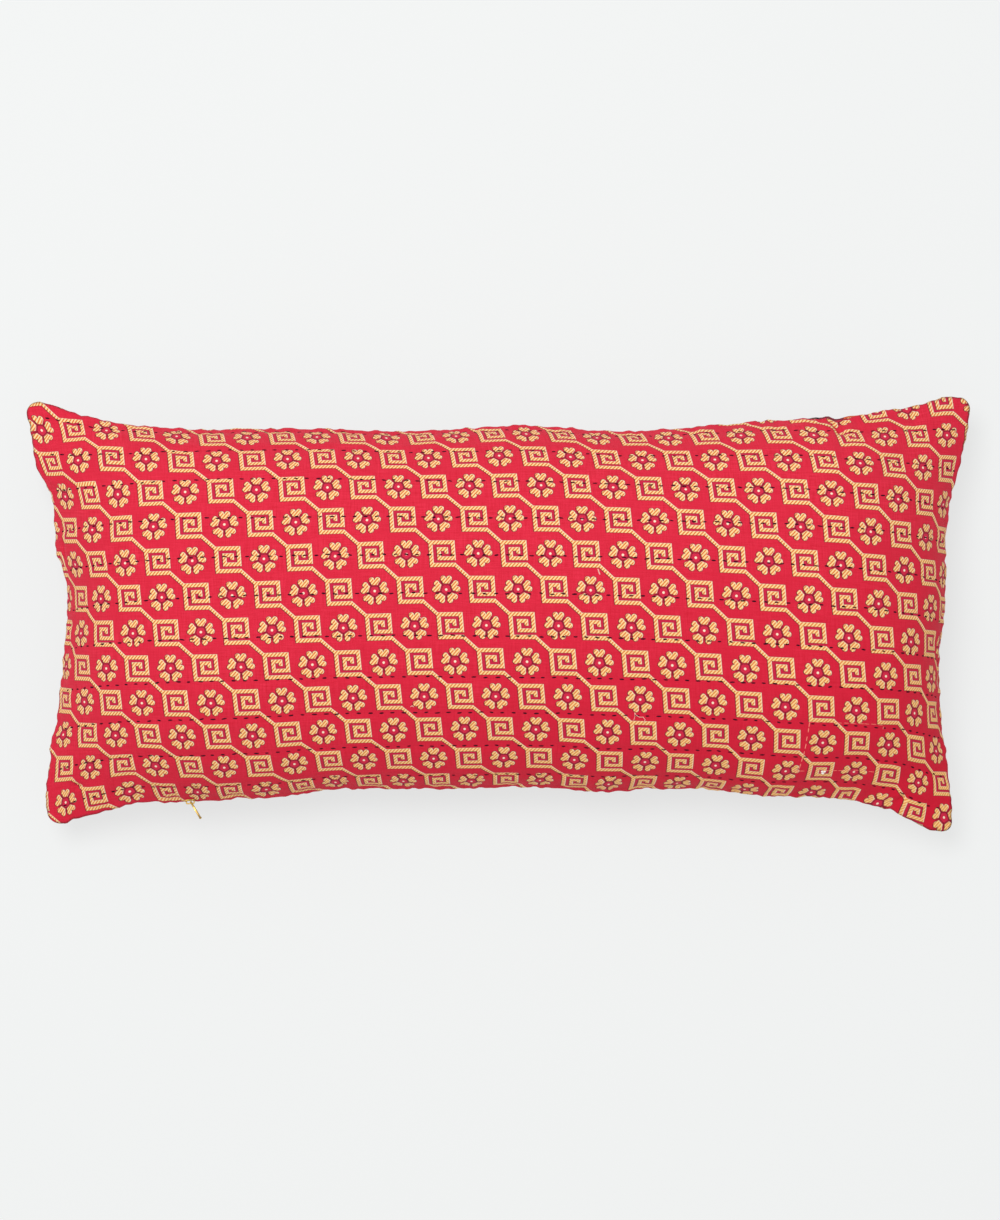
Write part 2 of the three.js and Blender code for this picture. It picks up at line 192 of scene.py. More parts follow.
# Quilting: the stitches, the channel that they press into the cloth, and the rows of running stitch, each
# with its y on the cloth in mm at the left, middle and right
ROW_ENDS_AT = 395 * MM
STITCH_PERIOD = 10.3 * MM
STITCH_LENGTH = 5.0 * MM
STITCH_WIDTH = 1.5 * MM
STITCH_HEIGHT = 1.0 * MM
STITCH_MARGIN = 9 * MM
CHANNEL_DEPTH = 0.55 * MM
CHANNEL_WIDTH = 2.6 * MM
SWELL_HEIGHT = 0.3 * MM
SWELL_PLACE = 9 * MM
SWELL_WIDTH = 5 * MM
STITCH_ROWS = [
    {"left": 193, "middle": 196, "right": 178},
    {"left": 157, "middle": 160, "right": 141},
    {"left": 121, "middle": 123, "right": 104},
    {"left": 81, "middle": 85, "right": 71},
    {"left": 43, "middle": 49, "right": 33},
    {"left": 5, "middle": 14, "right": -4},
    {"left": -32, "middle": -25, "right": -41},
    {"left": -72, "middle": -63, "right": -77},
    {"left": -109, "middle": -98, "right": -115},
    {"left": -148, "middle": -134, "right": -151},
    {"left": -187, "middle": -174, "right": -183},
]

# A mend on the face, outlined in fine pale stitches: cloth places and sizes in mm, save for the height
PATCH_STITCH_HEIGHT = 0.5 * MM
PATCH_SWAY = 0.18
PATCH_SIDES = [
    {"start": (281.5, -105), "end": (357.0, -108.8), "stitch": 6.2, "every": 7.2, "width": 0.55},
    {"start": (283.6, -104.5), "end": (282.5, -166.0), "stitch": 6.5, "every": 7.4, "width": 1.0},
    {"start": (276.0, -160.5), "end": (361.0, -162.6), "stitch": 6.0, "every": 7.8, "width": 0.6},
    {"start": (357.0, -109.5), "end": (356.0, -121.0), "stitch": 5.0, "every": 8.0, "width": 0.7},
    {"start": (360.5, -150.0), "end": (361.6, -162.0), "stitch": 4.0, "every": 7.0, "width": 0.6},
]

# Thread ends left on the face, and a knot of three turns, in mm
LOOSE_THREADS = [
    {
        "width": 0.6,
        "along": [(121.5, -97), (123, -99.5), (126, -101.5), (129.5, -101.5), (131.5, -104), (130.5, -107)],
    },
    {"width": 0.5, "along": [(121.5, -97), (122, -101), (121, -104.5)]},
    {"width": 1.3, "along": [(86.2, 36.0), (86.9, 33.5), (87.9, 31.2)]},
    {"width": 0.8, "along": [(-115.0, -4.4), (-113.5, -4.9), (-112.2, -4.6)]},
    {"width": 0.8, "along": [(-76.5, -8.0), (-74.6, -8.9), (-73.2, -8.3)]},
    {"width": 0.7, "along": [(-84.6, -91.6), (-83.0, -90.6), (-81.6, -92.0)]},
    {"width": 0.8, "along": [(336.5, -171.5), (338.5, -172.2)]},
]
THREAD_LIFT = 0.35 * MM
KNOT = [
    {"x": 305.9, "y": -162.0, "size": 2.6},
    {"x": 308.4, "y": -162.2, "size": 2.6},
    {"x": 307.2, "y": -164.6, "size": 2.8},
]
KNOT_FLATNESS = 0.6
KNOT_LIFT = 0.5 * MM

# Where the print strays further from straight, in mm
PRINT_STRAYS = [
    {"x": -360, "y": 195, "reach": 100, "along": 0, "up": -11},
    {"x": -432, "y": 188, "reach": 70, "along": 0, "up": 6},
    {"x": -395, "y": 148, "reach": 50, "along": 2.2, "up": -1.5},
    {"x": -262, "y": -205, "reach": 62, "along": 5, "up": 0},
    {"x": -395, "y": -190, "reach": 62, "along": 6, "up": 0.5},
    {"x": 355, "y": 212, "reach": 62, "along": 0, "up": 5},
    {"x": 432, "y": 205, "reach": 62, "along": 2, "up": 6.5},
    {"x": 445, "y": -200, "reach": 78, "along": 0, "up": -10},
    {"x": 405, "y": -165, "reach": 48, "along": -4, "up": 1.5},
]

# The camera, as the photograph was taken: straight down from well above
CAMERA_PLACE = Vector((2.2, 3.74, 2870)) * MM
LENS = 87.4
SENSOR = 36.0

# The plain pale floor, which glows a little, and the soft studio light
FLOOR_COLOUR = (0.185, 0.188, 0.187, 1)
FLOOR_GLOW_COLOUR = (0.985, 1.0, 0.995, 1)
FLOOR_GLOW = 0.69
ROOM_COLOUR = (0.99, 0.995, 1.0, 1)
ROOM_LIGHT = 0.62
WINDOW = {"place": (-0.62, 0.85, 3.05), "size": 1.4, "power": 60}


# Shape of the pillow

def face_run(steps=240):
    """Tables of how far a face has come in plan, and fallen, on its way from the crown to the seam."""
    middle = (np.arange(steps) + 0.5) / steps
    slope = SEAM_SLOPE * middle ** SLOPE_POWER
    plan = np.concatenate([[0], np.cumsum(np.cos(slope)) / steps])
    fall = np.concatenate([[0], np.cumsum(np.sin(slope)) / steps])
    return np.linspace(0, 1, steps + 1), plan, fall


RUN_PLACES, RUN_PLAN, RUN_FALL = face_run()
CROWN_RISE = CLOTH_WIDTH / 2 * RUN_FALL[-1]


def height_left(run):
    return 1 - np.interp(run, RUN_PLACES, RUN_FALL) / RUN_FALL[-1]


def bump(distance, reach):
    """A soft bump of height 1 that ends at the given distance."""
    share = np.minimum(np.abs(distance) / reach, 1)
    return (1 - share ** 2) ** 2


def along_length(x):
    """Fullness, and the drawn-in plan place, for cloth places along the pillow."""
    run = np.where(x < 0, LEFT_END_RUN, RIGHT_END_RUN)
    level = CLOTH_LENGTH / 2 - run
    share = np.clip((np.abs(x) - level) / run, 0, 1)
    drawn = np.where(share > 0, level + run * np.interp(share, RUN_PLACES, RUN_PLAN), np.abs(x))
    return height_left(share), np.sign(x) * drawn


def across_width(y):
    share = np.abs(y) / (CLOTH_WIDTH / 2)
    drawn = np.sign(y) * CLOTH_WIDTH / 2 * np.interp(share, RUN_PLACES, RUN_PLAN)
    return height_left(share), drawn


def round_corners(x, y):
    """Moves cloth places near a corner into its rounded tip."""
    x, y = x.copy(), y.copy()
    for name, radius in CORNER_RADII.items():
        side_y = 1 if "far" in name else -1
        side_x = 1 if "right" in name else -1
        a = (side_x * x - CLOTH_LENGTH / 2 + radius) / radius
        b = (side_y * y - CLOTH_WIDTH / 2 + radius) / radius
        tip = (a > 0) & (b > 0)
        x[tip] = side_x * (CLOTH_LENGTH / 2 - radius + radius * a[tip] * np.sqrt(1 - b[tip] ** 2 / 2))
        y[tip] = side_y * (CLOTH_WIDTH / 2 - radius + radius * b[tip] * np.sqrt(1 - a[tip] ** 2 / 2))
    return x, y


def seam_stray(seam, at):
    out = np.zeros_like(at)
    up = np.zeros_like(at)
    for stray in SEAM_STRAYS[seam]:
        share = bump(at - stray["at"] * MM, stray["reach"] * MM)
        out += stray["out"] * MM * share
        up += stray.get("up", 0) * MM * share
    return out, up


def fold_shares(x, y, fold):
    """How far places lie from a fold's middle, along it and across it, as shares of its half sizes."""
    turn = math.radians(fold["turn"])
    dx = x - fold["x"] * MM
    dy = y - fold["y"] * MM
    along = (dx * math.cos(turn) + dy * math.sin(turn)) / (fold["long"] * MM)
    across = (dy * math.cos(turn) - dx * math.sin(turn)) / (fold["wide"] * MM)
    return along, across


def fold_height(x, y):
    height = np.zeros_like(x)
    for fold in FACE_FOLDS:
        height += fold["up"] * MM * bump(np.hypot(*fold_shares(x, y, fold)), 1)
    return height


def pillow_form(cloth_x, cloth_y, side):
    """Places of the filled cover. side is "front" for the printed face and "back" for the underside."""
    x0, y0 = round_corners(cloth_x, cloth_y)
    full_x, drawn_x = along_length(x0)
    full_y, drawn_y = across_width(y0)
    share_y = np.abs(y0) / (CLOTH_WIDTH / 2)
    share_x = np.abs(x0) / (CLOTH_LENGTH / 2)
    gather = np.where(y0 < 0, NEAR_GATHER, FAR_GATHER) * share_y ** GATHER_POWER
    x = (x0 + (drawn_x - x0) * full_y) * (1 - gather) + BODY_SHIFT.x * full_y
    flat_y = y0 * (1 - CORNER_GATHER)
    y = flat_y + (drawn_y - flat_y) * full_x ** SIDE_DRAW_POWER + BODY_SHIFT.y * full_x
    far_out, far_up = seam_stray("far", x)
    near_out, near_up = seam_stray("near", x)
    left_out, _ = seam_stray("left", y)
    right_out, _ = seam_stray("right", y)
    by_long = share_y ** LONG_STRAY_POWER
    by_end = share_x ** END_STRAY_POWER
    up = np.where(y0 > 0, far_up, near_up) * by_long
    y += np.where(y0 > 0, far_out, -near_out) * by_long
    x += np.where(x0 > 0, right_out, -left_out) * by_end
    full = full_x * full_y
    seam = SEAM_HEIGHT - CORNER_DROOP * (1 - full_x) * (1 - full_y) + up
    if side == "front":
        z = seam + CROWN_RISE * full + fold_height(x, y) * np.sqrt(full)
    else:
        hanging = np.maximum(seam - BACK_BULGE * full, 0)
        z = hanging ** 2 / (hanging + FLOOR_EASE) * (seam + FLOOR_EASE) / seam
    return np.stack([x + CENTRING.x, y + CENTRING.y, z], -1)


def net_places(cells):
    """Cloth places of a net's crossings."""
    xs = np.linspace(-CLOTH_LENGTH / 2, CLOTH_LENGTH / 2, cells[0] + 1)
    ys = np.linspace(-CLOTH_WIDTH / 2, CLOTH_WIDTH / 2, cells[1] + 1)
    return np.meshgrid(xs, ys, indexing="ij")


def net_normals(places, side):
    """Outward unit normals of a net of places."""
    along = np.gradient(places, axis=0)
    across = np.gradient(places, axis=1)
    normal = np.cross(along, across)
    normal /= np.maximum(np.linalg.norm(normal, axis=-1, keepdims=True), 1e-12)
    return normal if side == "front" else -normal


def add_object(name, bm):
    """Puts a finished bmesh into the scene, as an object at the origin."""
    mesh = bpy.data.meshes.new(name)
    bm.to_mesh(mesh)
    bm.free()
    made = bpy.data.objects.new(name, mesh)
    bpy.context.scene.collection.objects.link(made)
    return made


def closed_nets(cells, front, back):
    """A bmesh of two nets that share their rim. Each corner keeps the number of its crossing in the net."""
    bm = bmesh.new()
    rim = []
    for side, places in (("front", front), ("back", back)):
        old = set(bm.verts)
        old_faces = set(bm.faces)
        bmesh.ops.create_grid(bm, x_segments=cells[0], y_segments=cells[1], size=1)
        crossing = bm.verts.layers.int.get("crossing") or bm.verts.layers.int.new("crossing")
        for vert in (v for v in bm.verts if v not in old):
            i = round((vert.co.x + 1) / 2 * cells[0])
            j = round((vert.co.y + 1) / 2 * cells[1])
            vert.co = places[i, j]
            vert[crossing] = i * (cells[1] + 1) + j
            if i in (0, cells[0]) or j in (0, cells[1]):
                rim.append(vert)
        new_faces = [f for f in bm.faces if f not in old_faces]
        for face in new_faces:
            face.material_index = 0 if side == "front" else 1
            face.smooth = True
        if side == "back":
            bmesh.ops.reverse_faces(bm, faces=new_faces)
    bmesh.ops.remove_doubles(bm, verts=rim, dist=0.02 * MM)
    return bm


# Blowing the cover up as cloth

def flat_panels(cells):
    """The two panels before filling: flat, one over the other, and joined at the rim."""
    x, y = net_places(cells)
    return np.stack([x, y, np.full_like(x, SEAM_HEIGHT)], -1)


def blown_up(cells):
    """Runs the cloth simulation on a coarse cover and returns how far each net's places moved."""
    x, y = net_places(cells)
    starts = {side: pillow_form(x, y, side) for side in ("front", "back")}
    bm = closed_nets(cells, starts["front"], starts["back"])
    crossing = bm.verts.layers.int["crossing"]
    bm.verts.index_update()
    on_front = {v.index for f in bm.faces if f.material_index == 0 for v in f.verts}
    on_back = {v.index for f in bm.faces if f.material_index == 1 for v in f.verts}
    crossings = [v[crossing] for v in bm.verts]
    cover = add_object("cover_trial", bm)

    cover.shape_key_add(name="filled")
    flat_key = cover.shape_key_add(name="flat")
    flat = flat_panels(cells).reshape(-1, 3)
    for vertex, place in enumerate(crossings):
        flat_key.data[vertex].co = flat[place]
    rim = cover.vertex_groups.new(name="seam")
    rim.add(sorted(on_front & on_back), 1.0, "REPLACE")

    cloth = cover.modifiers.new("filling", "CLOTH")
    settings = cloth.settings
    settings.quality = 8
    settings.mass = 0.25
    settings.air_damping = 3
    settings.tension_stiffness = 60
    settings.compression_stiffness = 60
    settings.shear_stiffness = 25
    settings.bending_stiffness = 6
    settings.tension_damping = 15
    settings.compression_damping = 15
    settings.use_pressure = True
    settings.uniform_pressure_force = CLOTH_PRESSURE
    settings.vertex_group_mass = "seam"
    settings.rest_shape_key = flat_key
    settings.effector_weights.gravity = 0
    cloth.collision_settings.use_collision = False
    cloth.point_cache.frame_start = 1
    cloth.point_cache.frame_end = CLOTH_STEPS
    for step in range(1, CLOTH_STEPS + 1):
        bpy.context.scene.frame_set(step)
    seen = cover.evaluated_get(bpy.context.evaluated_depsgraph_get())
    moved = np.array([v.co for v in seen.data.vertices])
    bpy.context.scene.frame_set(1)

    shape = (cells[0] + 1, cells[1] + 1, 3)
    moves = {}
    for side, members in (("front", on_front), ("back", on_back)):
        places = starts[side].reshape(-1, 3).copy()
        for vertex in members:
            places[crossings[vertex]] = moved[vertex]
        moves[side] = places.reshape(shape) - starts[side]
    bpy.data.objects.remove(cover)
    return moves


def smoothed(field, rounds):
    """Blurs a net of vectors, holding its rim."""
    field = field.copy()
    for _ in range(rounds):
        inner = (field[:-2, 1:-1] + field[2:, 1:-1] + field[1:-1, :-2] + field[1:-1, 2:]) / 4
        field[1:-1, 1:-1] = (field[1:-1, 1:-1] + inner) / 2
    return field


def finer(field, cells):
    """A net of vectors read at a finer net's crossings, along smooth curves."""
    for axis, count in enumerate(cells):
        steps = field.shape[axis] - 1
        place = np.linspace(0, steps, count + 1)
        cell = np.clip(place.astype(int), 0, steps - 1)
        t = (place - cell).reshape([-1 if a == axis else 1 for a in range(3)])
        at = [np.take(field, np.clip(cell + k, 0, steps), axis=axis) for k in (-1, 0, 1, 2)]
        field = 0.5 * (
            2 * at[1]
            + (at[2] - at[0]) * t
            + (2 * at[0] - 5 * at[1] + 4 * at[2] - at[3]) * t ** 2
            + (3 * at[1] - at[0] - 3 * at[2] + at[3]) * t ** 3
        )
    return field


def capped(moves, most):
    """Moves that are turned down softly so that none is longer than most."""
    length = np.linalg.norm(moves, axis=-1, keepdims=True)
    return moves * most / (most + length)


def lumps(kind, face_number):
    """Smooth unevenness of the filling over the fine net, with bumps of about the given size."""
    coarse = (int(CLOTH_LENGTH / kind["size"]), int(CLOTH_WIDTH / kind["size"]))
    rng = np.random.default_rng(kind["seed"] + face_number)
    values = rng.uniform(-1, 1, (coarse[0] + 1, coarse[1] + 1, 1))
    return kind["height"] * finer(values, FINE_CELLS)[..., 0]


def stitch_row_height(row, x):
    """Where a row of running stitches runs across the cloth, for places along it."""
    share = x / ROW_ENDS_AT
    bow = (row["left"] + row["right"]) / 2 - row["middle"]
    lean = (row["right"] - row["left"]) / 2
    return (row["middle"] + lean * share + bow * share ** 2) * MM


def quilting(x, y):
    """The shallow channel of each stitch row, puckered between its stitches."""
    depth = np.zeros_like(x)
    for number, row in enumerate(STITCH_ROWS):
        off = y - stitch_row_height(row, x)
        pucker = 0.75 + 0.25 * np.cos(2 * math.pi * x / STITCH_PERIOD + number)
        depth -= CHANNEL_DEPTH * pucker * np.exp(-(off / CHANNEL_WIDTH) ** 2)
        depth += SWELL_HEIGHT * np.exp(-((np.abs(off) - SWELL_PLACE) / SWELL_WIDTH) ** 2)
    return depth


def ripple(at, seed, sizes):
    """An uneven ripple between about -1 and 1 along a seam, made of waves of the given lengths."""
    rng = np.random.default_rng(seed)
    waves = 0
    for size in sizes:
        swell = 0.6 + 0.4 * np.sin(2 * math.pi * at / (size * 5.3) + rng.uniform(0, 6.3))
        waves = waves + swell * np.sin(2 * math.pi * at / size + rng.uniform(0, 6.3))
    return waves / len(sizes)


def seam_distances(x, y):
    """How far cloth places are from the nearer long seam and the nearer end seam."""
    return CLOTH_WIDTH / 2 - np.abs(y), CLOTH_LENGTH / 2 - np.abs(x)


def seam_puckers(x, y, seed):
    """Small gathers that stand square to the seams and fade within a few centimetres."""
    to_long, to_end = seam_distances(x, y)
    beside = np.where(y > 0, x + 0.37, x)
    above = np.where(x > 0, y + 0.21, y)
    by_long = ripple(beside, seed, PUCKER_WAVES) * np.exp(-(to_long / PUCKER_REACH) ** 2)
    by_end = ripple(above, seed + 1, PUCKER_WAVES) * np.exp(-(to_end / PUCKER_REACH) ** 2)
    return PUCKER_HEIGHT * (by_long + by_end)


def seam_welt(to_seam):
    """The channel beside the seam, which leaves the seam itself standing as a low welt."""
    return -WELT_DEPTH * np.exp(-((to_seam - WELT_PLACE) / WELT_WIDTH) ** 2)


def tuck_depth(x, y):
    """Each tuck's groove, with the cloth swelling a little on both sides of it."""
    depth = np.zeros_like(x)
    for tuck in TUCKS:
        along, across = fold_shares(x, y, tuck)
        depth += tuck["up"] * MM * bump(np.hypot(along, across), 1)
        swell = np.hypot(along, (np.abs(across) - 1.6) / 1.4)
        depth -= 0.3 * tuck["up"] * MM * bump(swell, 1)
    return depth


def filled_nets():
    """The fine front and back nets: the form, what the cloth simulation adds, and the sewn relief."""
    moves = blown_up(COARSE_CELLS)
    x, y = net_places(FINE_CELLS)
    to_long, to_end = seam_distances(x, y)
    to_seam = np.minimum(to_long, to_end)
    inward = np.clip(to_seam / LUMPS_START, 0, 1)
    thickness = pillow_form(x, y, "front")[..., 2] - pillow_form(x, y, "back")[..., 2]
    thick = np.clip(thickness / FULL_RELIEF_THICKNESS, 0, 1)
    nets = {}
    for face_number, side in enumerate(("front", "back")):
        broad = smoothed(moves[side], 60)
        detail = moves[side] - broad
        added = finer(capped(detail, DETAIL_CAP) + capped(broad, CROWN_CAP), FINE_CELLS)
        places = pillow_form(x, y, side) + added
        relief = (lumps(BROAD_LUMPS, face_number) + lumps(SMALL_LUMPS, face_number)) * inward
        relief += quilting(x, y) * np.clip(to_seam / (6 * MM), 0, 1) + seam_welt(to_seam)
        if side == "front":
            relief += tuck_depth(x, y)
        relief += seam_puckers(x, y, 31 + 2 * face_number) * np.clip(to_seam / (5 * MM), 0, 1)
        nets[side] = places + net_normals(places, side) * (relief * thick)[..., None]

    # The rim is one line for both faces, rippled in plan
    rim = to_seam < 0.01 * MM
    by_end = to_end < to_long
    outward = np.stack([np.sign(x) * by_end, np.sign(y) * ~by_end, 0 * x], -1)
    along_seam = np.where(by_end, y + 0.5 * np.sign(x), x + 0.3 * np.sign(y))
    ripples = ripple(along_seam, 77, RIM_WAVES) * RIM_RIPPLE + RIM_OUT
    fade = np.exp(-(to_seam / RIM_FADE) ** 2)
    corner = np.clip(np.hypot(to_long, to_end) / CORNER_CALM, 0, 1)
    for side in nets:
        nets[side] = nets[side] + outward * (ripples * fade * corner)[..., None]
    nets["back"][rim] = nets["front"][rim]

    # The back cloth rolls up over the far seam near the right end
    roll = bump(x - BACK_ROLL["at"], BACK_ROLL["reach"]) * (y > 0)
    roll = roll * bump(to_long - BACK_ROLL["width"], BACK_ROLL["width"])
    nets["back"][..., 1] += roll * BACK_ROLL["out"]
    for side in nets:
        nets[side][..., 2] = np.maximum(nets[side][..., 2], LEAST_HEIGHT)
    return nets


def surface_reader(nets, side):
    """A function that gives a face's place and outward normal at a cloth place."""
    places = nets[side]
    normals = net_normals(places, side)
    steps = np.array(FINE_CELLS)

    def read(x, y):
        at = np.array([x / CLOTH_LENGTH + 0.5, y / CLOTH_WIDTH + 0.5]) * steps
        cell = np.clip(at.astype(int), 0, steps - 1)
        s, t = at - cell
        i, j = cell
        weights = (
            (i, j, (1 - s) * (1 - t)),
            (i + 1, j, s * (1 - t)),
            (i, j + 1, (1 - s) * t),
            (i + 1, j + 1, s * t),
        )
        place = sum(places[a, b] * w for a, b, w in weights)
        normal = sum(normals[a, b] * w for a, b, w in weights)
        return Vector(place), Vector(normal).normalized()

    return read


# Print coordinates

def print_place(x, y):
    """Where a cloth place falls on the straight print: the cloth was cut and sewn a little out of true."""
    s = x / (CLOTH_LENGTH / 2)
    t = y / (CLOTH_WIDTH / 2)
    along = 3 + 8.5 * s + 2 * t - 9.5 * s ** 2 - 9 * t ** 2
    along += -2.5 * s ** 3 - 5.5 * s * t ** 2 + 2.5 * t ** 3 + 9 * s ** 4 + 9 * t ** 4
    up = -4 + 0.5 * s + 2.5 * t + 29 * s ** 2 - 2 * s * t
    up += 5.5 * s ** 3 + 1.5 * s * t ** 2 - 7 * t ** 3 - 21 * s ** 4
    for stray in PRINT_STRAYS:
        share = bump(np.hypot(x - stray["x"] * MM, y - stray["y"] * MM), stray["reach"] * MM)
        along = along + stray["along"] * share
        up = up + stray["up"] * share
    return x + along * MM, y + up * MM


def wrapped(at, whole, to_seam):
    """Places just past a seam, for cloth that is turned under there."""
    return np.where(to_seam < SEAM_WRAP * 1.5, np.sign(at) * (whole - np.abs(at)), at)


def mended(x, y):
    """Where the mends of the back cloth come right up to the far seam."""
    return (np.abs(x - BACK_ROLL["at"]) < BACK_ROLL["reach"] * 0.7) & (y > 0)


def make_pillow(nets):
    """The cover, with its cloth map, and with the front cloth turned under the rim but at the mends."""
    bm = closed_nets(FINE_CELLS, nets["front"], nets["back"])
    crossing = bm.verts.layers.int["crossing"]
    x, y = net_places(FINE_CELLS)
    to_long, to_end = seam_distances(x, y)
    past_rim = (wrapped(x, CLOTH_LENGTH, to_end), wrapped(y, CLOTH_WIDTH, to_long))
    prints = [print_place(x, y), print_place(*past_rim)]
    under_rim = ((np.minimum(to_long, to_end) < SEAM_WRAP) & ~mended(x, y)).ravel()
    cloth_map = bm.loops.layers.uv.new("cloth")
    for face in bm.faces:
        turned_under = face.material_index == 1 and all(under_rim[v[crossing]] for v in face.verts)
        if turned_under:
            face.material_index = 0
        print_x, print_y = prints[turned_under]
        for loop in face.loops:
            place = loop.vert[crossing]
            loop[cloth_map].uv = (print_x.flat[place], print_y.flat[place])
    return add_object("pillow_cover", bm)


# Stitches and threads

def small_mesh(name, build):
    """A mesh to copy from, made by a function that fills a bmesh."""
    bm = bmesh.new()
    build(bm)
    mesh = bpy.data.meshes.new(name)
    bm.to_mesh(mesh)
    bm.free()
    return mesh


def stitch_form(bm):
    """One stitch, a short fat bead of thread whose ends dip into the cloth."""
    bmesh.ops.create_uvsphere(bm, u_segments=8, v_segments=6, radius=0.5)
    bmesh.ops.rotate(bm, verts=bm.verts, matrix=Matrix.Rotation(math.pi / 2, 3, "Y"))
    for vert in bm.verts:
        vert.co.z -= 0.35 * (abs(vert.co.x) * 2) ** 3
    for face in bm.faces:
        face.smooth = True


def add_copies(bm, mesh, matrices):
    """Adds a copy of a small mesh at each matrix."""
    for matrix in matrices:
        start = len(bm.verts)
        bm.from_mesh(mesh)
        bm.verts.ensure_lookup_table()
        bmesh.ops.transform(bm, matrix=matrix, verts=bm.verts[start:])


def lying_frame(read, start, end, width, height, lift=0.0):
    """A matrix that lays a unit piece on the cloth from start to end, given as cloth places."""
    a, _ = read(*start)
    b, _ = read(*end)
    middle, normal = read((start[0] + end[0]) / 2, (start[1] + end[1]) / 2)
    along = b - a
    length = along.length
    along.normalize()
    across = normal.cross(along).normalized()
    normal = along.cross(across)
    turn = Matrix((along, across, normal)).transposed().to_4x4()
    size = Matrix.Diagonal((length, width, height, 1))
    return Matrix.Translation(middle + normal * lift) @ turn @ size


def stitch_matrices(read, row, number):
    """Frames for the stitches of one row."""
    rng = np.random.default_rng(100 + number)
    x = -CLOTH_LENGTH / 2 + STITCH_MARGIN + rng.uniform(0, STITCH_PERIOD)
    matrices = []
    while x < CLOTH_LENGTH / 2 - STITCH_MARGIN:
        length = STITCH_LENGTH * rng.uniform(0.8, 1.15)
        sway = rng.normal(0, 0.35 * MM, 2)
        start = (x, stitch_row_height(row, x) + sway[0])
        end = (x + length, stitch_row_height(row, x + length) + sway[1])
        width = STITCH_WIDTH * rng.uniform(0.85, 1.1)
        matrices.append(lying_frame(read, start, end, width, STITCH_HEIGHT))
        x += STITCH_PERIOD * rng.uniform(0.93, 1.07)
    return matrices


def make_running_stitches(nets):
    """The rows of both faces, each row made by itself and then joined to the rest."""
    template = small_mesh("stitch", stitch_form)
    joined = bmesh.new()
    for side, first_number in (("front", 0), ("back", 50)):
        read = surface_reader(nets, side)
        for number, row in enumerate(STITCH_ROWS, first_number):
            matrices = stitch_matrices(read, row, number)
            row_mesh = small_mesh("row", lambda bm: add_copies(bm, template, matrices))
            joined.from_mesh(row_mesh)
            bpy.data.meshes.remove(row_mesh)
    for vert in joined.verts:
        vert.co.z = max(vert.co.z, 0)
    return add_object("running_stitches", joined)


def thread_form(bm):
    """A short straight length of thread."""
    bmesh.ops.create_cone(bm, cap_ends=True, segments=8, radius1=0.5, radius2=0.5, depth=1.12)
    bmesh.ops.rotate(bm, verts=bm.verts, matrix=Matrix.Rotation(math.pi / 2, 3, "Y"))
    for face in bm.faces:
        face.smooth = len(face.verts) == 4


def knot_form(bm):
    """One turn of the knot."""
    bmesh.ops.create_uvsphere(bm, u_segments=10, v_segments=8, radius=0.5)
    for face in bm.faces:
        face.smooth = True


def make_patch_stitches(read):
    """The outline of a mend, run round in a fine pale thread."""
    template = small_mesh("patch_stitch", stitch_form)
    rng = np.random.default_rng(5)
    bm = bmesh.new()
    for side in PATCH_SIDES:
        start = Vector(side["start"])
        run = Vector(side["end"]) - start
        width = side["width"] * MM
        place = 0.0
        while place + side["stitch"] < run.length:
            begin = start + run * (place / run.length)
            end = start + run * ((place + side["stitch"] * rng.uniform(0.75, 1.2)) / run.length)
            sway = Vector(rng.normal(0, PATCH_SWAY, 2))
            frames = [lying_frame(read, (begin + sway) * MM, (end + sway) * MM, width, PATCH_STITCH_HEIGHT)]
            add_copies(bm, template, frames)
            place += side["every"] * rng.uniform(0.85, 1.15)
    return add_object("patch_stitches", bm)


def make_loose_threads(read):
    """Pale thread ends that were left on the face."""
    length = small_mesh("thread", thread_form)
    bm = bmesh.new()
    for thread in LOOSE_THREADS:
        spots = [(x * MM, y * MM) for x, y in thread["along"]]
        width = thread["width"] * MM
        frames = [lying_frame(read, a, b, width, width, THREAD_LIFT) for a, b in zip(spots, spots[1:])]
        add_copies(bm, length, frames)
    return add_object("loose_threads", bm)


def make_knot(read):
    """A small knot of white thread, on the mend."""
    turn_of_thread = small_mesh("knot", knot_form)
    bm = bmesh.new()
    for part in KNOT:
        place, normal = read(part["x"] * MM, part["y"] * MM)
        size = part["size"] * MM
        turn = normal.to_track_quat("Z", "Y").to_matrix().to_4x4()
        shape = Matrix.Diagonal((size, size, size * KNOT_FLATNESS, 1))
        add_copies(bm, turn_of_thread, [Matrix.Translation(place + normal * KNOT_LIFT) @ turn @ shape])
    return add_object("white_knot", bm)


# Materials

class Field:
    """A number that varies over a surface: an output of a shader tree, with plain arithmetic."""

    def __init__(self, tree, socket):
        self.tree = tree
        self.socket = socket

    def do(self, operation, *others):
        node = self.tree.nodes.new("ShaderNodeMath")
        node.operation = operation
        for slot, value in zip(node.inputs, (self, *others)):
            connect(self.tree, value, slot)
        return Field(self.tree, node.outputs[0])

    def __add__(self, other):
        return self.do("ADD", other)

    def __sub__(self, other):
        return self.do("SUBTRACT", other)

    def __mul__(self, other):
        return self.do("MULTIPLY", other)

    def __truediv__(self, other):
        return self.do("DIVIDE", other)

    def __abs__(self):
        return self.do("ABSOLUTE")

    def least(self, *others):
        field = self
        for other in others:
            field = field.do("MINIMUM", other)
        return field

    def most(self, *others):
        field = self
        for other in others:
            field = field.do("MAXIMUM", other)
        return field

    def taken_from(self, number):
        return (self * -1) + number

    def share(self):
        """Held between 0 and 1."""
        return self.most(0.0).least(1.0)

    def under(self, level, blur):
        """1 where the field is under level, 0 where it is over, with a soft step between."""
        return ((self - level) * (-1 / blur) + 0.5).share()


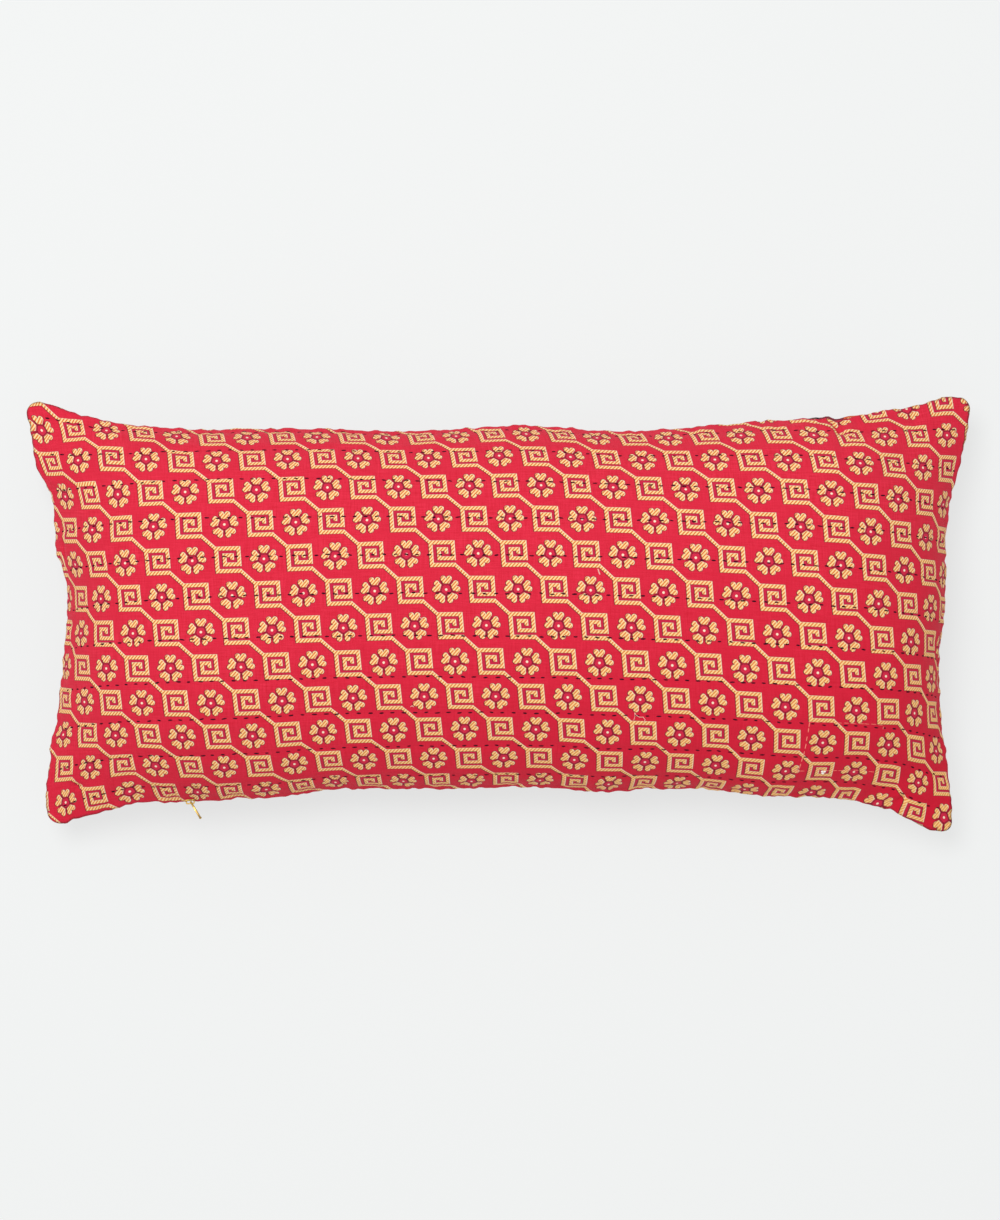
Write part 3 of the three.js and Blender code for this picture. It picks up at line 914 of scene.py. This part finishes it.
def connect(tree, value, slot):
    if isinstance(value, Field):
        tree.links.new(value.socket, slot)
    elif isinstance(value, bpy.types.NodeSocket):
        tree.links.new(value, slot)
    else:
        slot.default_value = value


def new_material(name):
    material = bpy.data.materials.new(name)
    material.use_nodes = True
    tree = material.node_tree
    tree.nodes.clear()
    shader = tree.nodes.new("ShaderNodeBsdfPrincipled")
    output = tree.nodes.new("ShaderNodeOutputMaterial")
    tree.links.new(shader.outputs[0], output.inputs[0])
    return material, tree, shader


def mixed(tree, share, low, high):
    """A colour between low and high."""
    node = tree.nodes.new("ShaderNodeMix")
    node.data_type = "RGBA"
    connect(tree, share, node.inputs[0])
    for slot, colour in ((node.inputs[6], low), (node.inputs[7], high)):
        connect(tree, colour, slot)
    return node.outputs[2]


def noise(tree, vector, scale, detail=2.0, roughness=0.5):
    node = tree.nodes.new("ShaderNodeTexNoise")
    node.inputs["Scale"].default_value = scale
    node.inputs["Detail"].default_value = detail
    node.inputs["Roughness"].default_value = roughness
    tree.links.new(vector, node.inputs["Vector"])
    return Field(tree, node.outputs[0])


def stretched(tree, vector, scales, turn=0.0):
    node = tree.nodes.new("ShaderNodeMapping")
    node.inputs["Scale"].default_value = scales
    node.inputs["Rotation"].default_value = (0, 0, turn)
    tree.links.new(vector, node.inputs["Vector"])
    return node.outputs[0]


def bumped(tree, shader, height, distance, strength=1.0):
    node = tree.nodes.new("ShaderNodeBump")
    node.inputs["Strength"].default_value = strength
    node.inputs["Distance"].default_value = distance
    connect(tree, height, node.inputs["Height"])
    tree.links.new(node.outputs[0], shader.inputs["Normal"])


def linear(red, green, blue):
    """A colour given as it looks on a screen, from 0 to 255, as the renderer's own values."""
    shares = [value / 255 for value in (red, green, blue)]
    straight = [share / 12.92 if share <= 0.04045 else ((share + 0.055) / 1.055) ** 2.4 for share in shares]
    return (*straight, 1)


def set_finish(shader, finish):
    """Sets constants on the shader's own sockets."""
    for name, value in finish.items():
        shader.inputs[name].default_value = value


def cloth_map(tree):
    """The pillow's cloth map, and its two directions, in metres over the straight print."""
    node = tree.nodes.new("ShaderNodeUVMap")
    node.uv_map = "cloth"
    split = tree.nodes.new("ShaderNodeSeparateXYZ")
    tree.links.new(node.outputs[0], split.inputs[0])
    return node.outputs[0], Field(tree, split.outputs[0]), Field(tree, split.outputs[1])


def cloth_tone(tree, uv):
    """How light the slubs make the cloth, round 0.5, from threads that run along it and across it."""
    slub = noise(tree, stretched(tree, uv, (60, 900, 1)), 1.0, 2.0)
    slub_down = noise(tree, stretched(tree, uv, (900, 60, 1)), 1.0, 2.0)
    return (slub + slub_down) * 0.5


def weave(tree, uv, cloth_x, cloth_y):
    """A plain weave: threads along and across, uneven like handloom cotton."""
    along = (cloth_x * (2 * math.pi / WEAVE_PITCH)).do("SINE")
    across = (cloth_y * (2 * math.pi / WEAVE_PITCH)).do("SINE")
    slub = noise(tree, stretched(tree, uv, (120, 1400, 1)), 1.0, 1.0)
    return abs(along) * 0.4 + abs(across) * 0.4 + slub * 0.8


WEAVE_PITCH = 0.62 * MM
WEAVE_RELIEF = 0.25 * MM

# The print, in millimetres on the straight cloth. Key and flower stand in turn along a row, and a rope-like
# line runs from the end of each key down to the next row's key.
HALF_STEP = 33.46
ROW_PITCH = 33.33
ROW_SHIFT = 37.1
PRINT_CENTRE = (50.2, 14.0)
MOTIF_LEAN = 0.075
KEY_WIDTH = 24.4
KEY_HEIGHT = 24.8
ROPE_WIDTH = 3.0
KEY_BARS = [
    {"name": "top", "left": 0.0, "right": 24.4, "high": 0.0, "low": 3.7},
    {"name": "left", "left": 0.0, "right": 3.7, "high": 0.0, "low": 24.8},
    {"name": "bottom", "left": 0.0, "right": 24.0, "high": 21.1, "low": 24.8},
    {"name": "right", "left": 20.8, "right": 24.4, "high": 0.0, "low": 18.6},
    {"name": "inner bottom", "left": 7.4, "right": 24.4, "high": 15.1, "low": 18.6},
    {"name": "inner left", "left": 7.4, "right": 10.9, "high": 6.5, "low": 18.6},
    {"name": "inner top", "left": 7.4, "right": 17.8, "high": 6.5, "low": 9.9},
    {"name": "hook", "left": 14.4, "right": 17.8, "high": 6.5, "low": 12.5},
]
LINK_START = (11.9, 10.5)
LINK_END = (25.2, 22.6)
PETAL_INNER = 5.6
PETAL_OUTER = 10.2
PETAL_WAIST = 2.7
PETAL_LOBE = 2.5
PETAL_LOBE_APART = 2.75
PETAL_WIDENING = 0.54
HEART_RADIUS = 4.6
HEART_SCALLOP = 0.35
SPOKE_END = 9.6
DOT_RADIUS = 1.15
HATCH_ALONG = 3.35
HATCH_DOWN = 3.65
OUTLINE_SHIFT = (0.7, -0.3)


def bar(x, y, left, right, high, low):
    """How far a place lies outside a bar of the key, negative inside."""
    wide = abs(x - (left + right) / 2) - (right - left) / 2
    tall = abs(y - (high + low) / 2) - (low - high) / 2
    return wide.most(tall)


def rope(x, y, start, end, width):
    """How far a place lies outside a slanting stretch of rope."""
    run = (end[0] - start[0], end[1] - start[1])
    square = run[0] ** 2 + run[1] ** 2
    share = (((x - start[0]) * run[0] + (y - start[1]) * run[1]) / square).share()
    off_x = x - start[0] - share * run[0]
    off_y = y - start[1] - share * run[1]
    return (off_x * off_x + off_y * off_y).do("SQRT") - width / 2


def key_lines(x, y):
    """The cream lines: the square spiral, and the ropes that come in from the row above and go on below."""
    x_from_corner = x - y * MOTIF_LEAN + KEY_WIDTH / 2
    y_from_corner = y + KEY_HEIGHT / 2
    bars = [bar(x_from_corner, y_from_corner, b["left"], b["right"], b["high"], b["low"]) for b in KEY_BARS]
    going = rope(x, y, LINK_START, LINK_END, ROPE_WIDTH)
    back = (-ROW_SHIFT, -ROW_PITCH)
    start = (LINK_START[0] + back[0], LINK_START[1] + back[1])
    end = (LINK_END[0] + back[0], LINK_END[1] + back[1])
    coming = rope(x, y, start, end, ROPE_WIDTH)
    return bars[0].least(*bars[1:], going, coming)


def from_flower(x):
    """Distance along the row from the nearest flower's middle. A flower is alike on both sides."""
    return abs(x).taken_from(HALF_STEP)


def flower_place(x, y):
    """Distance from the flower's middle, place along and beside the nearest petal, and angle from it."""
    away = (x * x + y * y).do("SQRT")
    fifth = 2 * math.pi / 5
    angle = x.do("ARCTAN2", y * -1)
    turned = (angle / fifth + 0.5).do("FRACT") - 0.5
    beside_angle = abs(turned) * fifth
    return away, away * beside_angle.do("COSINE"), away * beside_angle.do("SINE"), beside_angle


def petals(along, beside):
    """How far a place lies outside a heart-shaped petal."""
    lobe_x = along - PETAL_OUTER
    lobe_y = beside - PETAL_LOBE_APART
    lobe = (lobe_x * lobe_x + lobe_y * lobe_y).do("SQRT") - PETAL_LOBE
    widening = (along - PETAL_INNER) * PETAL_WIDENING + PETAL_WAIST
    body = (beside - widening).most(along.taken_from(PETAL_INNER), along - PETAL_OUTER)
    return lobe.least(body)


def motif_place(cloth_x, cloth_y):
    """Place in mm from the middle of the nearest key, y down the cloth."""
    across = (cloth_y * 1000).taken_from(PRINT_CENTRE[1])
    row = (across / ROW_PITCH).do("ROUND")
    y = across - row * ROW_PITCH
    along = cloth_x * 1000 - PRINT_CENTRE[0] - row * ROW_SHIFT
    turns = (along / (2 * HALF_STEP)).do("ROUND")
    return along - turns * (2 * HALF_STEP), y


def cream_distance(x, y):
    """How far a place lies outside the cream lines and petals."""
    _, along, beside, _ = flower_place(from_flower(x), y)
    return key_lines(x, y).least(petals(along, beside))


def front_cloth():
    material, tree, shader = new_material("printed_cotton")
    uv, cloth_x, cloth_y = cloth_map(tree)
    x, y = motif_place(cloth_x, cloth_y)
    away, along, beside, beside_angle = flower_place(from_flower(x), y)
    petal = petals(along, beside)
    cream = key_lines(x, y).least(petal)
    shifted = cream_distance(x + OUTLINE_SHIFT[0], y + OUTLINE_SHIFT[1])

    # The red ground, with painted shade that makes it a little deeper towards the near right
    cloudy = noise(tree, uv, 26.0, 3.0)
    tone = ((cloth_tone(tree, uv) - 0.5) * 3.2 + 0.5).share()
    red = mixed(tree, tone, linear(202, 16, 43), linear(232, 45, 73))
    red = mixed(tree, ((cloudy - 0.5) * 2.0 + 0.4).share(), red, linear(212, 28, 57))
    # Painted shade: a darker, deeper red towards the near right, away from the window high on the far left
    painted_shade = (cloth_x * 0.9 - cloth_y * 3.2 + 0.08).share()
    red = mixed(tree, painted_shade * 0.9, red, linear(208, 6, 44))

    # The darker reds printed on it: inside the keys and hearts, round every motif, and between the petals
    inside_key = abs(x - y * MOTIF_LEAN).most(abs(y)).under(KEY_WIDTH / 2 - 1, 0.6)
    scallop = (beside_angle * 5).do("COSINE") * HEART_SCALLOP
    ring = abs(away - HEART_RADIUS + scallop).under(0.36, 0.4)
    spoke = (beside_angle.taken_from(math.pi / 5) * away).under(0.4, 0.35)
    spoke = spoke * away.under(SPOKE_END, 1.6) * (away * -1).under(-HEART_RADIUS, 0.6)
    marks = [
        {"where": inside_key, "strength": 0.6, "colour": (190, 26, 68)},
        {"where": away.under(HEART_RADIUS, 0.6), "strength": 0.7, "colour": (206, 34, 70)},
        {"where": ring, "strength": 0.85, "colour": (96, 6, 38)},
        {"where": spoke, "strength": 0.9, "colour": (84, 6, 36)},
        {"where": cream.under(0.45, 0.4), "strength": 0.55, "colour": (112, 6, 42)},
        {"where": petal.under(0.5, 0.4), "strength": 0.6, "colour": (90, 4, 36)},
        {"where": shifted.under(0.0, 0.5), "strength": 0.9, "colour": (74, 4, 34)},
    ]
    for mark in marks:
        red = mixed(tree, mark["where"] * mark["strength"], red, linear(*mark["colour"]))

    # The cream lines and petals, hatched like twisted thread, with a painted highlight along their right
    # edges
    hatch = (x * (2 * math.pi / HATCH_ALONG) + y * (2 * math.pi / HATCH_DOWN)).do("SINE")
    blotch = noise(tree, uv, 420.0, 2.0)
    hatch_share = (hatch * 1.8 + 0.6 + (blotch - 0.5) * 0.8).share()
    thread = mixed(tree, hatch_share, linear(220, 118, 56), linear(253, 218, 152))
    # Painted shade: the cream also turns deeper orange towards the near right
    thread = mixed(tree, painted_shade * 0.4, thread, linear(250, 190, 104))
    # Painted highlight: a paler fringe along the right edge of every cream shape
    painted_highlight = (shifted * -1).under(0.0, 0.5)
    thread = mixed(tree, painted_highlight * 0.6, thread, linear(255, 236, 214))
    in_cream = cream.under(0.0, 0.5)
    colour = mixed(tree, in_cream, red, thread)
    colour = mixed(tree, away.under(DOT_RADIUS, 0.5), colour, linear(252, 228, 200))
    tree.links.new(colour, shader.inputs["Base Color"])

    set_finish(shader, {
        "Roughness": 0.85,
        "Specular IOR Level": 0.3,
        "Sheen Weight": 0.06,
        "Sheen Roughness": 0.3,
        "Sheen Tint": (1.0, 0.62, 0.66, 1),
    })
    relief = weave(tree, uv, cloth_x, cloth_y) * 0.6 + hatch_share * in_cream * 0.3
    bumped(tree, shader, relief, WEAVE_RELIEF, 0.8)
    return material


def back_cloth():
    material, tree, shader = new_material("plain_cotton")
    uv, cloth_x, cloth_y = cloth_map(tree)
    tone = ((cloth_tone(tree, uv) - 0.5) * 2.4 + 0.5).share()
    colour = mixed(tree, tone, linear(118, 14, 36), linear(146, 24, 48))
    for mend in BACK_MENDS:
        beside = abs(cloth_x * 1000 - mend["middle"]) - mend["half_width"]
        below = (cloth_y * 1000).taken_from(mend["lower_edge"])
        colour = mixed(tree, beside.most(below).under(0.0, 1.0), colour, linear(*mend["colour"]))
    tree.links.new(colour, shader.inputs["Base Color"])
    set_finish(shader, {
        "Roughness": 0.88,
        "Specular IOR Level": 0.15,
        "Sheen Weight": 0.05,
        "Sheen Roughness": 0.45,
    })
    bumped(tree, shader, weave(tree, uv, cloth_x, cloth_y), WEAVE_RELIEF, 0.8)
    return material


def thread_material(name, dark, light):
    material, tree, shader = new_material(name)
    place = tree.nodes.new("ShaderNodeTexCoord").outputs["Object"]
    tone = noise(tree, place, 900.0, 2.0)
    tree.links.new(mixed(tree, tone, dark, light), shader.inputs["Base Color"])
    set_finish(shader, {"Roughness": 0.9, "Specular IOR Level": 0.15})
    bumped(tree, shader, tone, 0.2 * MM, 0.6)
    return material


def brass():
    material, tree, shader = new_material("brass")
    place = tree.nodes.new("ShaderNodeTexCoord").outputs["Object"]
    wear = noise(tree, place, 260.0, 4.0, 0.6)
    colour = mixed(tree, wear, linear(166, 126, 58), linear(220, 184, 104))
    tree.links.new(colour, shader.inputs["Base Color"])
    set_finish(shader, {"Metallic": 1.0})
    connect(tree, wear * 0.25 + 0.2, shader.inputs["Roughness"])
    bumped(tree, shader, wear, 0.05 * MM, 0.5)
    return material


# The scene around the pillow

def make_floor():
    bm = bmesh.new()
    bmesh.ops.create_grid(bm, x_segments=1, y_segments=1, size=6)
    floor = add_object("floor", bm)
    material, _, shader = new_material("pale_floor")
    set_finish(shader, {
        "Base Color": FLOOR_COLOUR,
        "Roughness": 0.9,
        "Specular IOR Level": 0.0,
        "Emission Color": FLOOR_GLOW_COLOUR,
        "Emission Strength": FLOOR_GLOW,
    })
    floor.data.materials.append(material)


def make_light():
    """A pale room, and one large soft window high on the far left."""
    world = bpy.data.worlds.new("studio")
    bpy.context.scene.world = world
    world.use_nodes = True
    background = world.node_tree.nodes["Background"]
    background.inputs[0].default_value = ROOM_COLOUR
    background.inputs[1].default_value = ROOM_LIGHT
    data = bpy.data.lights.new("high_window", "AREA")
    data.shape = "DISK"
    data.size = WINDOW["size"]
    data.energy = WINDOW["power"]
    window = bpy.data.objects.new("high_window", data)
    window.location = WINDOW["place"]
    window.rotation_euler = (-Vector(WINDOW["place"])).to_track_quat("-Z", "Y").to_euler()
    bpy.context.scene.collection.objects.link(window)


def make_camera():
    data = bpy.data.cameras.new("camera")
    data.sensor_fit = "VERTICAL"
    data.sensor_height = SENSOR
    data.lens = LENS
    data.clip_start = 0.05
    data.clip_end = 40
    camera = bpy.data.objects.new("camera", data)
    camera.location = CAMERA_PLACE
    bpy.context.scene.collection.objects.link(camera)
    bpy.context.scene.camera = camera


def dress_pillow(nets):
    pillow = make_pillow(nets)
    pillow.data.materials.append(front_cloth())
    pillow.data.materials.append(back_cloth())
    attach(pillow, "root")
    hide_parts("pillow")


def sew_threads(nets):
    read = surface_reader(nets, "front")
    threads = [
        (make_running_stitches(nets), "dark_thread", (30, 2, 14), (66, 8, 30)),
        (make_patch_stitches(read), "mend_thread", (238, 104, 96), (250, 164, 140)),
        (make_loose_threads(read), "pale_thread", (236, 150, 140), (250, 206, 190)),
        (make_knot(read), "white_thread", (244, 224, 214), (255, 250, 244)),
    ]
    for piece, thread_name, dark, light in threads:
        piece.data.materials.append(thread_material(thread_name, linear(*dark), linear(*light)))
        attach(piece, "root")


def finish_zip():
    metal = brass()
    for name in ("zip_slider", "zip_pull"):
        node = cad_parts[name]
        node.data.materials.clear()
        node.data.materials.append(metal)


def main():
    bpy.context.scene.view_settings.view_transform = "Standard"
    make_camera()
    make_floor()
    make_light()
    nets = filled_nets()
    dress_pillow(nets)
    sew_threads(nets)
    finish_zip()


main()
